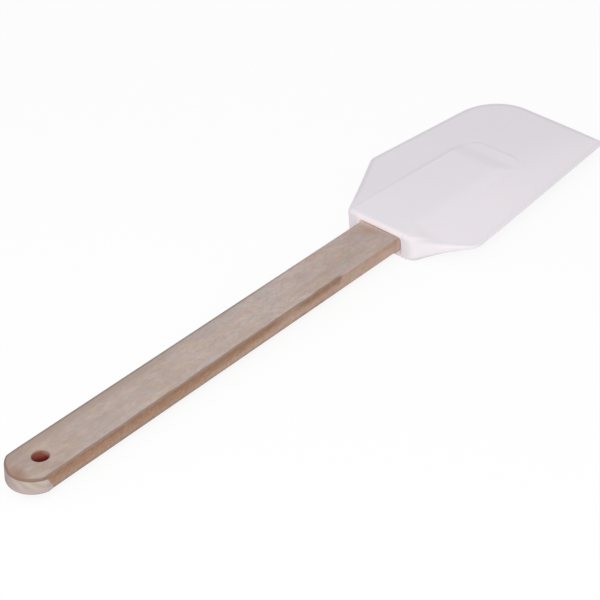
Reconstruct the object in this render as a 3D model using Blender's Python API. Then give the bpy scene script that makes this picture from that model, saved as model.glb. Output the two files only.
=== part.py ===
"""Rubber spatula: a flat beech handle whose tongue sits in the socket of a moulded rubber blade.

Metres, +Z up. +X runs along the handle to the blade's tip, and +Y to the blade's rounded corner.
Inside the functions x is measured from the far end of the collar's rear face, where the wood goes
into the rubber, y from the handle's centre line and z from the plane midway between the two flat
sides. Both flat sides of the blade are alike.
"""

import math

import bmesh
import bpy
from mathutils import Vector

# Handle: the bar that shows
HANDLE_LENGTH = 0.2232
HANDLE_BUTT_WIDTH = 0.0241
HANDLE_NECK_WIDTH = 0.0224
HANDLE_THICKNESS = 0.0074
HANDLE_EDGE_RADIUS = 0.0009
BUTT_ARC_RADIUS = 0.0133
BUTT_CORNER_RADIUS = 0.0016

# Handle: the hanging hole
HOLE_DIAMETER = 0.0074
HOLE_FROM_BUTT = 0.0156
HOLE_RIM_EASE = 0.0004

# Handle: the tongue inside the rubber
TONGUE_LENGTH = 0.0700
TONGUE_END_WIDTH = 0.0170
TONGUE_END_THICKNESS = 0.0030
TONGUE_CORNER_RADIUS = 0.0040
SOCKET_CLEARANCE = 0.0003
SOCKET_MOUTH_LENGTH = 0.0040

# Blade: outline
BLADE_LENGTH = 0.1253
COLLAR_FAR_REACH = 0.0195
COLLAR_NEAR_REACH = 0.0200
COLLAR_SLANT = math.radians(3.5)
FAR_SHOULDER_AT = 0.0472
FAR_SHOULDER_REACH = 0.0458
FAR_TIP_REACH = 0.0368
NEAR_SHOULDER_AT = 0.0176
NEAR_SHOULDER_REACH = 0.0416
NEAR_TIP_REACH = 0.0329
TIP_SLANT = math.radians(4.0)
FAR_COLLAR_RADIUS = 0.0060
NEAR_COLLAR_RADIUS = 0.0045
FAR_SHOULDER_RADIUS = 0.0070
NEAR_SHOULDER_RADIUS = 0.0055
ROUNDED_CORNER_RADIUS = 0.0222
SHARP_CORNER_RADIUS = 0.0035

# Blade: thickness
COLLAR_THICKNESS = 0.0132
COLLAR_EDGE_RADIUS = 0.0022
NEAR_EDGE_RADIUS = 0.0046
NEAR_EDGE_FROM = 0.0150
NEAR_EDGE_BLEND = 0.0080
EDGE_THICKNESS = 0.0012

# Blade: the web, which thins from the collar to the tip, and from its flat middle to its sides
WEB_ROOT_THICKNESS = 0.0124
WEB_NEAR_COLLAR_FLAT = 0.0212
WEB_NEAR_ROOT_FLAT = 0.0140
WEB_NEAR_END_FLAT = 0.0188
WEB_NEAR_TAPER = 1.35
WEB_COLLAR_LENGTH = 0.0110
WEB_CREST_BLEND = 0.0010

# Blade: the raised pad over the tongue, and the step down to the ledge round its end
PAD_LENGTH = 0.0867
PAD_END_THICKNESS = 0.0072
PAD_FAR_ROOT_REACH = 0.0200
PAD_FAR_END_REACH = 0.0180
PAD_NEAR_REACH = 0.0175
PAD_SLOPE_WIDTH = 0.0026
PAD_END_FLAT = 0.0085
PAD_CORNER_LENGTH = 0.0120
LEDGE_LENGTH = 0.0079
LEDGE_DROP = 0.0007
LEDGE_SLOPE_WIDTH = 0.0052

# Colours, each with its roughness
BEECH = ((0.50, 0.36, 0.27), 0.6)
WHITE_RUBBER = ((0.82, 0.79, 0.81), 0.5)

# Smoothness of the round forms
ARC_STEP = math.radians(7.5)
EDGE_STEPS = 3
PAD_COLUMNS = 5
SLOPE_COLUMNS = 4
WEB_COLUMNS = 4
PAD_END_ROWS = 3
LONG_SLOPE_ROWS = 4
ROW_SPACING = 0.0048
LEAST_ROW_SPACING = 0.0006
ROWS_STRAIGHT_FROM = 0.0400
ROWS_BENT_FROM = 0.0500
TIP_FAN_LENGTH = 0.0300
TIP_ROWS = 6
TURN_WEIGHT = 0.0120
HOLE_SIDES = 48
SHARPEST_SMOOTH_ANGLE = math.radians(35)

FAR, NEAR = 1, -1
NOT_QUITE_ZERO = 1e-5


def between(start, end, share):
    return start + (end - start) * share


def clamp(share):
    return min(1.0, max(0.0, share))


def smooth(share):
    """0 to 1 with level ends, flat outside them."""
    share = clamp(share)
    return share * share * (3 - 2 * share)


def smooth_min(first, second, blend):
    """The smaller of two, with the corner where they cross rounded off."""
    nearness = max(0.0, 1 - abs(first - second) / max(blend, NOT_QUITE_ZERO))
    return min(first, second) - nearness**3 * blend / 6


def quarter_round(radius):
    """How far in from an edge, and how far down from the face, each step of its round lies."""
    for step in range(EDGE_STEPS + 1):
        angle = math.pi / 2 * step / EDGE_STEPS
        yield radius * (1 - math.cos(angle)), radius * (1 - math.sin(angle))


def arc(centre, radius, start, end):
    """Points and outward directions along an arc, both ends included."""
    steps = max(2, math.ceil(abs(end - start) / ARC_STEP))
    for step in range(steps + 1):
        angle = between(start, end, step / steps)
        outward = Vector((math.cos(angle), math.sin(angle)))
        yield Vector(centre) + outward * radius, outward


def material(name, colour, roughness):
    made = bpy.data.materials.new(name)
    made.use_nodes = True
    shader = made.node_tree.nodes["Principled BSDF"]
    shader.inputs["Base Color"].default_value = (*colour, 1.0)
    shader.inputs["Roughness"].default_value = roughness
    shader.inputs["Metallic"].default_value = 0.0
    made.diffuse_color = (*colour, 1.0)
    return made


def add_object(name, mesh, finish=None):
    """Puts a bmesh in the scene as a named object, smooth but for its real edges."""
    bmesh.ops.recalc_face_normals(mesh, faces=mesh.faces)
    data = bpy.data.meshes.new(name)
    mesh.to_mesh(data)
    mesh.free()
    data.shade_smooth()
    data.set_sharp_from_angle(angle=SHARPEST_SMOOTH_ANGLE)
    made = bpy.data.objects.new(name, data)
    bpy.context.scene.collection.objects.link(made)
    if finish:
        data.materials.append(finish)
    return made


def add_cutter(name, mesh, target):
    cutter = add_object(name, mesh)
    cutter.hide_render = True
    cutter.display_type = "WIRE"
    cut = target.modifiers.new(name, "BOOLEAN")
    cut.operation = "DIFFERENCE"
    cut.solver = "EXACT"
    cut.object = cutter
    return cutter


def bar_thickness(x):
    """The full bar up to the collar, then the tongue's wedge."""
    return between(HANDLE_THICKNESS, TONGUE_END_THICKNESS, max(0.0, x) / TONGUE_LENGTH)


def butt_side():
    """The far half of the butt's plan: its arc from the tip of the butt, then the eased corner."""
    half = HANDLE_BUTT_WIDTH / 2
    arc_centre = BUTT_ARC_RADIUS - HANDLE_LENGTH
    run = BUTT_ARC_RADIUS - BUTT_CORNER_RADIUS
    rise = half - BUTT_CORNER_RADIUS
    corner_centre = arc_centre - math.sqrt(run * run - rise * rise)
    meeting = math.atan2(rise, corner_centre - arc_centre)
    side = list(arc((arc_centre, 0), BUTT_ARC_RADIUS, math.pi, meeting))
    side += list(arc((corner_centre, rise), BUTT_CORNER_RADIUS, meeting, math.pi / 2))[1:]
    return side


def tongue_side():
    """The far half of the tongue's plan, from just outside the collar to its square end."""
    half = TONGUE_END_WIDTH / 2
    centre = (TONGUE_LENGTH - TONGUE_CORNER_RADIUS, half - TONGUE_CORNER_RADIUS)
    side = [(Vector((x, HANDLE_NECK_WIDTH / 2)), Vector((0, 1))) for x in (-SOCKET_MOUTH_LENGTH, 0)]
    side += arc(centre, TONGUE_CORNER_RADIUS, math.pi / 2, 0)
    return side


def bar_mesh(side, clearance=0.0):
    """A flat bar from the far half of its plan, with rounded long edges, grown by a clearance.

    The half starts with one point on the centre line, and ends square across it."""
    near_side = [(Vector((p.x, -p.y)), Vector((n.x, -n.y))) for p, n in side[1:]]
    outline = side + near_side[::-1]
    mesh = bmesh.new()
    rings = []
    for up in (1, -1):
        for inward, down in list(quarter_round(HANDLE_EDGE_RADIUS))[::-up]:
            ring = []
            for point, outward in outline:
                half = bar_thickness(point.x) / 2
                share = half / (HANDLE_THICKNESS / 2)
                place = point + outward * (clearance - inward * share)
                ring.append(mesh.verts.new((*place, up * (half + clearance - down * share))))
            rings.append(ring)
    count = len(outline)
    for upper, lower in zip(rings, rings[1:]):
        for i in range(count):
            j = (i + 1) % count
            mesh.faces.new((upper[i], upper[j], lower[j], lower[i]))
    for ring in (rings[0], rings[-1]):
        for i in range(len(side) - 1):
            strip = [ring[i], ring[i + 1], ring[-i - 1], ring[-i]]
            mesh.faces.new(list(dict.fromkeys(strip)))
    return mesh


def hole_mesh():
    """The drill through the butt, flared at both faces so that it eases the rims."""
    past = HANDLE_THICKNESS
    flare = HOLE_RIM_EASE + past - HANDLE_THICKNESS / 2
    straight = HANDLE_THICKNESS / 2 - HOLE_RIM_EASE
    radius = HOLE_DIAMETER / 2
    profile = [(past, radius + flare), (straight, radius), (-straight, radius), (-past, radius + flare)]
    mesh = bmesh.new()
    rings = []
    for height, reach in profile:
        made = bmesh.ops.create_circle(mesh, segments=HOLE_SIDES, radius=reach)
        for vert in made["verts"]:
            vert.co += Vector((HOLE_FROM_BUTT - HANDLE_LENGTH, 0, height))
        rings.append(made["verts"])
    for upper, lower in zip(rings, rings[1:]):
        for i in range(HOLE_SIDES):
            j = (i + 1) % HOLE_SIDES
            mesh.faces.new((upper[i], upper[j], lower[j], lower[i]))
    mesh.faces.new(rings[0])
    mesh.faces.new(rings[-1])
    return mesh


def make_handle(finish):
    handle = add_object("handle", bar_mesh(butt_side() + tongue_side()), finish)
    hole = add_cutter("hanging_hole", hole_mesh(), handle)
    return [handle, hole]


def tip_x(y):
    """Where the slanted line of the tip lies."""
    return BLADE_LENGTH + math.tan(TIP_SLANT) * y


def rear_x(y):
    """Where the collar's slanted rear face lies."""
    return math.tan(COLLAR_SLANT) * (y - COLLAR_FAR_REACH)


def blade_outline():
    """Points and outward directions of the blade's plan: the far side, the tip, the near side."""
    corners = [
        ((rear_x(0), 0), 0),
        ((rear_x(COLLAR_FAR_REACH), COLLAR_FAR_REACH), FAR_COLLAR_RADIUS),
        ((FAR_SHOULDER_AT, FAR_SHOULDER_REACH), FAR_SHOULDER_RADIUS),
        ((tip_x(FAR_TIP_REACH), FAR_TIP_REACH), ROUNDED_CORNER_RADIUS),
        ((tip_x(-NEAR_TIP_REACH), -NEAR_TIP_REACH), SHARP_CORNER_RADIUS),
        ((NEAR_SHOULDER_AT, -NEAR_SHOULDER_REACH), NEAR_SHOULDER_RADIUS),
        ((rear_x(-COLLAR_NEAR_REACH), -COLLAR_NEAR_REACH), NEAR_COLLAR_RADIUS),
        ((rear_x(0), 0), 0),
    ]
    outline = []
    for before, (corner, radius), after in zip(corners, corners[1:], corners[2:]):
        corner = Vector(corner)
        back = (Vector(before[0]) - corner).normalized()
        on = (Vector(after[0]) - corner).normalized()
        half_angle = back.angle(on) / 2
        centre = corner + (back + on).normalized() * (radius / math.sin(half_angle))
        start = corner + back * (radius / math.tan(half_angle)) - centre
        end = corner + on * (radius / math.tan(half_angle)) - centre
        first = math.atan2(start.y, start.x)
        turn = -((first - math.atan2(end.y, end.x)) % (2 * math.pi))
        outline += arc(centre, radius, first, first + turn)
    return outline


def inset(point, path):
    """How far a point lies from the nearest part of a closed path."""
    nearest = math.inf
    for start, end in zip(path, path[1:] + path[:1]):
        run = end - start
        share = clamp((point - start).dot(run) / run.length_squared)
        nearest = min(nearest, (start + run * share - point).length)
    return nearest


def side_of(y):
    return FAR if y >= 0 else NEAR


def pad_foot(x, side):
    """How far from the centre line the foot of the pad's side lies."""
    if side == NEAR:
        return PAD_NEAR_REACH
    return between(PAD_FAR_ROOT_REACH, PAD_FAR_END_REACH, clamp(x / PAD_LENGTH))


def pad_end(y):
    """Where the foot of the pad's end lies, which slants like the tip, but for its corners."""
    return PAD_LENGTH + math.tan(TIP_SLANT) * y


def inside_pad(x, y):
    """How far inside the pad's foot a point lies. The corners of its end are quarter ellipses."""
    wide = pad_foot(x, side_of(y)) - PAD_END_FLAT
    across = max(0.0, abs(y) - PAD_END_FLAT) / wide
    along = max(0.0, x - pad_end(y) + PAD_CORNER_LENGTH) / PAD_CORNER_LENGTH
    out = math.hypot(across, along)
    steepness = math.hypot(across / wide, along / PAD_CORNER_LENGTH)
    return (1 - out) * out / steepness if out > 0 else PAD_CORNER_LENGTH


def edge_reach(x, side):
    """The blade's straight side edge, carried on past the shoulder to the collar."""
    at, reach, tip_reach = FAR_SHOULDER_AT, FAR_SHOULDER_REACH, FAR_TIP_REACH
    if side == NEAR:
        at, reach, tip_reach = NEAR_SHOULDER_AT, NEAR_SHOULDER_REACH, NEAR_TIP_REACH
    return between(reach, tip_reach, (x - at) / (tip_x(side * tip_reach) - at))


def past_pad(x, y):
    """0 up to the foot of the pad's side, 1 at the blade's side edge."""
    side = side_of(y)
    foot = pad_foot(x, side)
    return clamp((abs(y) - foot) / (edge_reach(x, side) - foot))


def web_heights(x, y):
    """Half the thickness of the web's flat middle and of its sloping side, and how they blend."""
    side = side_of(y)
    flat, taper = pad_foot(x, side), 1.0
    if side == NEAR:
        past_collar = between(WEB_NEAR_ROOT_FLAT, WEB_NEAR_END_FLAT, clamp(x / PAD_LENGTH))
        flat = between(WEB_NEAR_COLLAR_FLAT, past_collar, smooth(x / WEB_COLLAR_LENGTH))
        taper = WEB_NEAR_TAPER
    edge = EDGE_THICKNESS / 2
    along = clamp(1 - x / tip_x(y))
    middle = (WEB_ROOT_THICKNESS / 2 - edge) * along
    fall = (abs(y) - flat) / (edge_reach(x, side) - flat)
    return edge + middle, edge + middle * max(0.0, 1 - fall) ** taper, WEB_CREST_BLEND * along


def blade_height(x, y):
    """Half the blade's thickness at a point of its plan, before its edges are rounded."""
    middle, side, blend = web_heights(x, y)
    on_ledge = smooth((x - (pad_end(y) - LEDGE_LENGTH - LEDGE_SLOPE_WIDTH)) / LEDGE_SLOPE_WIDTH)
    pad = between(COLLAR_THICKNESS, PAD_END_THICKNESS, clamp(x / PAD_LENGTH)) / 2
    pad -= LEDGE_DROP * on_ledge
    # The pad's far side is a step, and its near side runs on into the slope of the web
    if side_of(y) == NEAR:
        pad = smooth_min(pad, side, blend)
    web = smooth_min(middle, side, blend)
    return between(web, max(web, pad), smooth(inside_pad(x, y) / PAD_SLOPE_WIDTH))


def rim_radius(x, y):
    """The round of the blade's edge: softer on the near wall, and less where it is thinner."""
    near_wall = smooth((-y - NEAR_EDGE_FROM) / NEAR_EDGE_BLEND)
    radius = between(COLLAR_EDGE_RADIUS, NEAR_EDGE_RADIUS, near_wall)
    return radius * blade_height(x, y) / (COLLAR_THICKNESS / 2)


def rim_drop(point, path):
    """How far the round of the edge takes the blade's face down at a point."""
    radius = rim_radius(point.x, point.y)
    short = max(0.0, radius - inset(point, path))
    return radius - math.sqrt(radius**2 - short**2)


def row_of(point):
    """Which row a point of the outline lies on: the first rows lean like the rear face."""
    if point.x > ROWS_STRAIGHT_FROM:
        return point.x
    rear = rear_x(point.y)
    return ROWS_STRAIGHT_FROM * (point.x - rear) / (ROWS_STRAIGHT_FROM - rear)


def on_row(row, y):
    """A point of a row, which leans near the collar and bends round the pad's end."""
    lean = rear_x(y) * clamp(1 - row / ROWS_STRAIGHT_FROM)
    crest = PAD_LENGTH - PAD_SLOPE_WIDTH
    fan_start = tip_x(FAR_TIP_REACH) - TIP_FAN_LENGTH
    turned = clamp((abs(y) - PAD_END_FLAT) / (pad_foot(row, side_of(y)) - PAD_END_FLAT))
    bend = PAD_CORNER_LENGTH * (1 - math.sqrt(1 - turned * turned)) + PAD_LENGTH - pad_end(y)
    bend *= clamp((row - ROWS_BENT_FROM) / (crest - ROWS_BENT_FROM))
    bend *= clamp((fan_start - row) / (fan_start - PAD_LENGTH))
    return Vector((row + lean - bend * (1 - past_pad(row, y)), y))


def reach_at(path, row):
    """How far from the centre line a path from the collar first lies when it comes to a row."""
    for start, end in zip(path, path[1:]):
        first, last = row_of(start), row_of(end)
        if first < row <= last:
            return abs(between(start.y, end.y, (row - first) / (last - first)))
    return abs(path[0].y)


def side_columns(row, reach, side):
    """Distances from the centre line of one side's columns, closer where the pad slopes."""
    slope = PAD_SLOPE_WIDTH
    crest = pad_foot(row, side) - slope
    # Where the collar is too narrow for the pad, its slope and some web, they all draw in
    fit = min(1.0, (reach - NEAR_EDGE_RADIUS) / (crest + 2 * slope))
    columns = [fit * crest * step / PAD_COLUMNS for step in range(1, PAD_COLUMNS + 1)]
    columns += [fit * (crest + slope * step / SLOPE_COLUMNS) for step in range(1, SLOPE_COLUMNS + 1)]
    inner, rim = columns[-1], rim_radius(row, side * reach)
    columns += [between(inner, reach - rim, step / WEB_COLUMNS) for step in range(1, WEB_COLUMNS)]
    columns += [reach - inward for inward, down in list(quarter_round(rim))[::-1]]
    return columns


def row_stations(path, fan_start):
    """Where the rows lie: on the collar's round, the plan's arcs, the slopes and in between."""
    rows = [inward for inward, down in quarter_round(COLLAR_EDGE_RADIUS)]
    rows.append(fan_start)
    slopes = [(PAD_LENGTH, PAD_SLOPE_WIDTH, PAD_END_ROWS)]
    slopes.append((PAD_LENGTH - LEDGE_LENGTH, LEDGE_SLOPE_WIDTH, LONG_SLOPE_ROWS))
    slopes.append((WEB_COLLAR_LENGTH, WEB_COLLAR_LENGTH, LONG_SLOPE_ROWS))
    wanted = [foot - width * step / count for foot, width, count in slopes for step in range(count + 1)]
    wanted += [row_of(point) for point in path]
    wanted += [ROW_SPACING * step for step in range(math.ceil(fan_start / ROW_SPACING))]
    for row in wanted:
        if row < fan_start and min(abs(row - other) for other in rows) > LEAST_ROW_SPACING:
            rows.append(row)
    return sorted(rows)


def tip_fan(outline, row, fan_start):
    """The rows that turn from a straight row into the line of the tip and its corners.

    The last of them has a point at equal steps of length and turning along the outline."""
    inside = [(point, outward) for point, outward in outline if point.x > fan_start]
    walked = [0.0]
    for (start, out_of_start), (end, out_of_end) in zip(inside, inside[1:]):
        turning = out_of_start.angle(out_of_end)
        walked.append(walked[-1] + (end - start).length + TURN_WEIGHT * turning)
    rows = [[] for step in range(TIP_ROWS + EDGE_STEPS)]
    for index, start in enumerate(row):
        along = (1 - index / (len(row) - 1)) * walked[-1]
        piece = max(i for i, passed in enumerate(walked[:-1]) if passed <= along)
        share = (along - walked[piece]) / (walked[piece + 1] - walked[piece])
        end = inside[piece][0].lerp(inside[piece + 1][0], share)
        run = (end - start).length
        rim = rim_radius(end.x, end.y)
        shares = [between(0, 1 - rim / run, (step + 1) / TIP_ROWS) for step in range(TIP_ROWS)]
        shares += [1 - inward / run for inward, down in list(quarter_round(rim))[-2::-1]]
        for points, share in zip(rows, shares):
            points.append(start.lerp(end, share))
    return rows


def blade_rows(outline, path):
    """The blade's plan as rows of points, each from its near edge to its far edge."""
    fan_start = tip_x(FAR_TIP_REACH) - TIP_FAN_LENGTH
    rows = []
    for row in row_stations(path, fan_start):
        near = side_columns(row, reach_at(path[::-1], row), NEAR)
        far = side_columns(row, reach_at(path, row), FAR)
        rows.append([on_row(row, y) for y in [-y for y in near[::-1]] + [0.0] + far])
    return rows + tip_fan(outline, rows[-1], fan_start)


def blade_mesh():
    """Both faces of the blade over its plan, joined by the wall round its edge."""
    outline = blade_outline()
    path = [point for point, outward in outline]
    rows = blade_rows(outline, path)
    last_row, last_column = len(rows) - 1, len(rows[0]) - 1
    mesh = bmesh.new()
    verts = {}
    for i, row in enumerate(rows):
        for j, point in enumerate(row):
            height = blade_height(point.x, point.y) - rim_drop(point, path)
            for up in (1, -1):
                verts[up, i, j] = mesh.verts.new((point.x, point.y, up * height))
    for up in (1, -1):
        for i in range(last_row):
            for j in range(last_column):
                corners = [(i, j), (i + 1, j), (i + 1, j + 1), (i, j + 1)]
                mesh.faces.new([verts[up, a, b] for a, b in corners])
    edge = [(i, 0) for i in range(last_row)]
    edge += [(last_row, j) for j in range(last_column)]
    edge += [(i, last_column) for i in range(last_row, 0, -1)]
    edge += [(0, j) for j in range(last_column, 0, -1)]
    for a, b in zip(edge, edge[1:] + edge[:1]):
        mesh.faces.new((verts[1, *a], verts[1, *b], verts[-1, *b], verts[-1, *a]))
    return mesh


def socket_mesh():
    """The tongue's own shape with its clearance, carried out through the collar's rear face."""
    outer_end = (Vector((-SOCKET_MOUTH_LENGTH - HANDLE_NECK_WIDTH / 2, 0)), Vector((-1, 0)))
    return bar_mesh([outer_end] + tongue_side(), SOCKET_CLEARANCE)


def make_blade(finish):
    blade = add_object("blade", blade_mesh(), finish)
    socket = add_cutter("tongue_socket", socket_mesh(), blade)
    return [blade, socket]


def stand_on_origin(pieces):
    """Parents the pieces to an empty that centres them over the origin with their lowest point at 0."""
    corners = [v.co for piece in pieces if not piece.hide_render for v in piece.data.vertices]
    low = Vector([min(c[i] for c in corners) for i in range(3)])
    high = Vector([max(c[i] for c in corners) for i in range(3)])
    holder = bpy.data.objects.new("spatula", None)
    bpy.context.scene.collection.objects.link(holder)
    middle = (low + high) / 2
    holder.location = (-middle.x, -middle.y, -low.z)
    for piece in pieces:
        piece.parent = holder


def main():
    for old in list(bpy.data.objects):
        bpy.data.objects.remove(old)
    beech = material("beech", *BEECH)
    white_rubber = material("white_rubber", *WHITE_RUBBER)
    stand_on_origin(make_handle(beech) + make_blade(white_rubber))
    bpy.context.view_layer.update()


main()
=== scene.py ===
# %% [markdown]
# # A rubber spatula
#
# A flat beech bar is pushed into a moulded blade of white rubber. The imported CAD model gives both
# pieces their place and size. This notebook loads it as a fixed frame, and then dresses it: each
# piece is made again with finer forms, and gets a material built from nodes.

# %% Load the frame
import math
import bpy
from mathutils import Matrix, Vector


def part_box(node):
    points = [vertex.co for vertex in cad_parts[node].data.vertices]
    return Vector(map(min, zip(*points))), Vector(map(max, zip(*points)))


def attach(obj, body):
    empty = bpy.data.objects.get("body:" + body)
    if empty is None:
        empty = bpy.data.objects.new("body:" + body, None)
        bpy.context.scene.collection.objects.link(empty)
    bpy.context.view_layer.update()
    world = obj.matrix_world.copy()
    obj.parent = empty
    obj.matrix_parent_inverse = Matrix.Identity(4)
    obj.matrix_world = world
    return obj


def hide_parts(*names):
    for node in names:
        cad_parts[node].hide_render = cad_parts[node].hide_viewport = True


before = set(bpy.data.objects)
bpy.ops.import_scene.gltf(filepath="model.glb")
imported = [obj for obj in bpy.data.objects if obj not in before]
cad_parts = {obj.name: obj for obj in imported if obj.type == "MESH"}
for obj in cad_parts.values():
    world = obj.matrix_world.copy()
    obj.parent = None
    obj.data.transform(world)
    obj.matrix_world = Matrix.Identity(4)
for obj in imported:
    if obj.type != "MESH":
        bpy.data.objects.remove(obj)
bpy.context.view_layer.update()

from types import SimpleNamespace

import bmesh
import bpy
from mathutils import Matrix, Vector

# %% [markdown]
# The two pieces are drawn from one point: x starts at the far end of the collar's rear face and
# runs to the blade's tip, y starts at the handle's centre line, and z midway between its two flat
# faces. The handle's own box says where that point lies in the frame.

# %% Where the pieces are drawn from
HANDLE_LENGTH = 0.2232

handle_low, handle_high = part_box("handle")
ORIGIN = Vector((
    handle_low[0] + HANDLE_LENGTH,
    (handle_low[1] + handle_high[1]) / 2,
    (handle_low[2] + handle_high[2]) / 2,
))
print("drawn from", [round(v, 6) for v in ORIGIN])

# %% [markdown]
# ## Camera
#
# The camera stands where the photograph was taken from: beside the handle, well above it, with a
# long lens. Its turn is given as the direction that it looks back along, its height above the
# horizon, and a small roll, from which the three axes of its matrix follow.

# %% Camera
CAMERA_AZIMUTH = math.radians(-45.62)
CAMERA_ELEVATION = math.radians(33.94)
CAMERA_ROLL = math.radians(-4.39)
CAMERA_FROM_ORIGIN = Vector((-0.692032, -0.624016, 0.595081))
CAMERA_LENS_MM = 148.49
CAMERA_SENSOR_MM = 36.0


def camera_axes(azimuth, elevation, roll):
    """The camera's right, up and back directions."""
    level = math.cos(elevation)
    back = Vector((math.sin(azimuth) * level, -math.cos(azimuth) * level, math.sin(elevation)))
    right = Vector((0, 0, 1)).cross(back).normalized()
    up = back.cross(right)
    turn = Matrix.Rotation(roll, 3, back)
    return turn @ right, turn @ up, back


def add_camera():
    camera = bpy.data.objects.new("camera", bpy.data.cameras.new("camera"))
    camera.data.lens = CAMERA_LENS_MM
    camera.data.sensor_width = CAMERA_SENSOR_MM
    axes = camera_axes(CAMERA_AZIMUTH, CAMERA_ELEVATION, CAMERA_ROLL)
    camera.matrix_world = Matrix.LocRotScale(
        ORIGIN + CAMERA_FROM_ORIGIN, Matrix(axes).transposed().to_quaternion(), None
    )
    bpy.context.scene.collection.objects.link(camera)
    bpy.context.scene.camera = camera
    return camera


camera = add_camera()
print("camera at", [round(v, 4) for v in camera.location])

# %% [markdown]
# ## Node maths in Python
#
# Both materials and shapes are built from nodes here. One small class wraps the output of a node,
# so that a formula can be written as a formula: adding two wires adds a Math node and links it.

# %% A wire: the output of a node
def adds_node(operation, swapped=False):
    """A method that adds a Math node for a wire and another value, in either order."""
    def method(self, other):
        return self.math(operation, *((other, self) if swapped else (self, other)))
    return method


class Wire:
    """The output of a node. Arithmetic with wires and numbers adds Math nodes to its tree."""

    def __init__(self, tree, socket):
        self.tree = tree
        self.socket = socket

    def node(self, kind, settings=None, inputs=None, output=0):
        """Adds a node with its settings, fills its inputs, and returns one of its outputs."""
        made = self.tree.nodes.new(kind)
        for name, value in (settings or {}).items():
            if name == "stops":
                set_stops(made.color_ramp.elements, value)
            else:
                setattr(made, name, value)
        for name, value in (inputs or {}).items():
            if isinstance(value, Wire):
                self.tree.links.new(value.socket, made.inputs[name])
            else:
                made.inputs[name].default_value = value
        return Wire(self.tree, made.outputs[output])

    def math(self, operation, *values, clamp=False):
        settings = {"operation": operation, "use_clamp": clamp}
        return self.node("ShaderNodeMath", settings, dict(enumerate(values)))

    __add__, __radd__ = adds_node("ADD"), adds_node("ADD", swapped=True)
    __sub__, __rsub__ = adds_node("SUBTRACT"), adds_node("SUBTRACT", swapped=True)
    __mul__, __rmul__ = adds_node("MULTIPLY"), adds_node("MULTIPLY", swapped=True)
    __truediv__, __pow__ = adds_node("DIVIDE"), adds_node("POWER")

    def __abs__(self):
        return self.math("ABSOLUTE", self)

    def __neg__(self):
        return self.math("SUBTRACT", 0.0, self)


def set_stops(elements, stops):
    """Gives a colour ramp its stops, each a place and a colour."""
    while len(elements) > 1:
        elements.remove(elements[-1])
    for index, (place, colour) in enumerate(stops):
        element = elements[0] if index == 0 else elements.new(place)
        element.position = place
        element.color = colour


def axes_of(vector):
    """A vector's three parts."""
    split = vector.node("ShaderNodeSeparateXYZ", inputs={0: vector}).socket.node
    return [Wire(vector.tree, split.outputs[axis]) for axis in "XYZ"]


# %% Sums for numbers and wires alike
NOT_QUITE_ZERO = 1e-5


def clamp(share):
    """Keeps a number or a wire between 0 and 1."""
    if isinstance(share, Wire):
        return share.math("ADD", share, 0.0, clamp=True)
    return min(1.0, max(0.0, share))


def largest(first, second):
    for value in (first, second):
        if isinstance(value, Wire):
            return value.math("MAXIMUM", first, second)
    return max(first, second)


def smooth_min(first, second, blend):
    """The smaller of two, with the corner where they cross rounded off."""
    for value in (first, second):
        if isinstance(value, Wire):
            return value.math("SMOOTH_MIN", first, second, blend)
    nearness = max(0.0, 1 - abs(first - second) / max(blend, NOT_QUITE_ZERO))
    return min(first, second) - nearness**3 * blend / 6


def between(start, end, share):
    return start + (end - start) * share


def smooth(share):
    """0 to 1 with level ends, flat outside them."""
    share = clamp(share)
    return share * share * (3 - 2 * share)


def step_up(value, start, end):
    """0 up to the start, 1 from the end on, and smooth in between."""
    return smooth((value - start) / (end - start))


# %% [markdown]
# ## The blade's rule
#
# The blade is one moulding whose thickness follows a rule. The pad over the hidden tongue slopes
# gently from the collar to its round end, with a ledge one step lower there. Beside and past the
# pad the web thins to a flexible edge. The rule is written once, for numbers and wires alike:
# Python uses it to lay out the plan, and Geometry Nodes use it to lift that plan.

# %% Sizes of the blade
SIZES = dict(
    blade_length=0.1253,
    tip_slope=math.tan(math.radians(4.0)),
    collar_slope=math.tan(math.radians(3.5)),
    collar_far_reach=0.0195,
    collar_near_reach=0.0200,
    far_shoulder_at=0.0472,
    far_shoulder_reach=0.0458,
    far_tip_reach=0.0368,
    near_shoulder_at=0.0176,
    near_shoulder_reach=0.0413,
    near_tip_reach=0.0325,
    collar_thickness=0.0132,
    edge_thickness=0.0012,
    web_root_thickness=0.0124,
    web_near_collar_flat=0.0212,
    web_near_root_flat=0.0140,
    web_near_end_flat=0.0188,
    web_near_taper=1.35,
    web_collar_length=0.0110,
    web_crest_blend=0.0010,
    rim_radius=0.0022,
    near_rim_radius=0.0046,
    near_rim_from=0.0150,
    near_rim_blend=0.0080,
    pad_length=0.0867,
    pad_end_thickness=0.0080,
    pad_far_root_reach=0.0200,
    pad_far_end_reach=0.0180,
    pad_near_reach=0.0175,
    pad_slope_width=0.0026,
    pad_end_flat=0.0085,
    pad_corner_length=0.0120,
    ledge_length=0.0072,
    ledge_drop=0.0014,
    ledge_rise=0.0004,
    ledge_slope_width=0.0112,
)
CORNER_RADII = SimpleNamespace(
    far_collar=0.0060, far_shoulder=0.0070, rounded_tip=0.0222,
    sharp_tip=0.0035, near_shoulder=0.0055, near_collar_light=0.0045,
)


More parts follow.
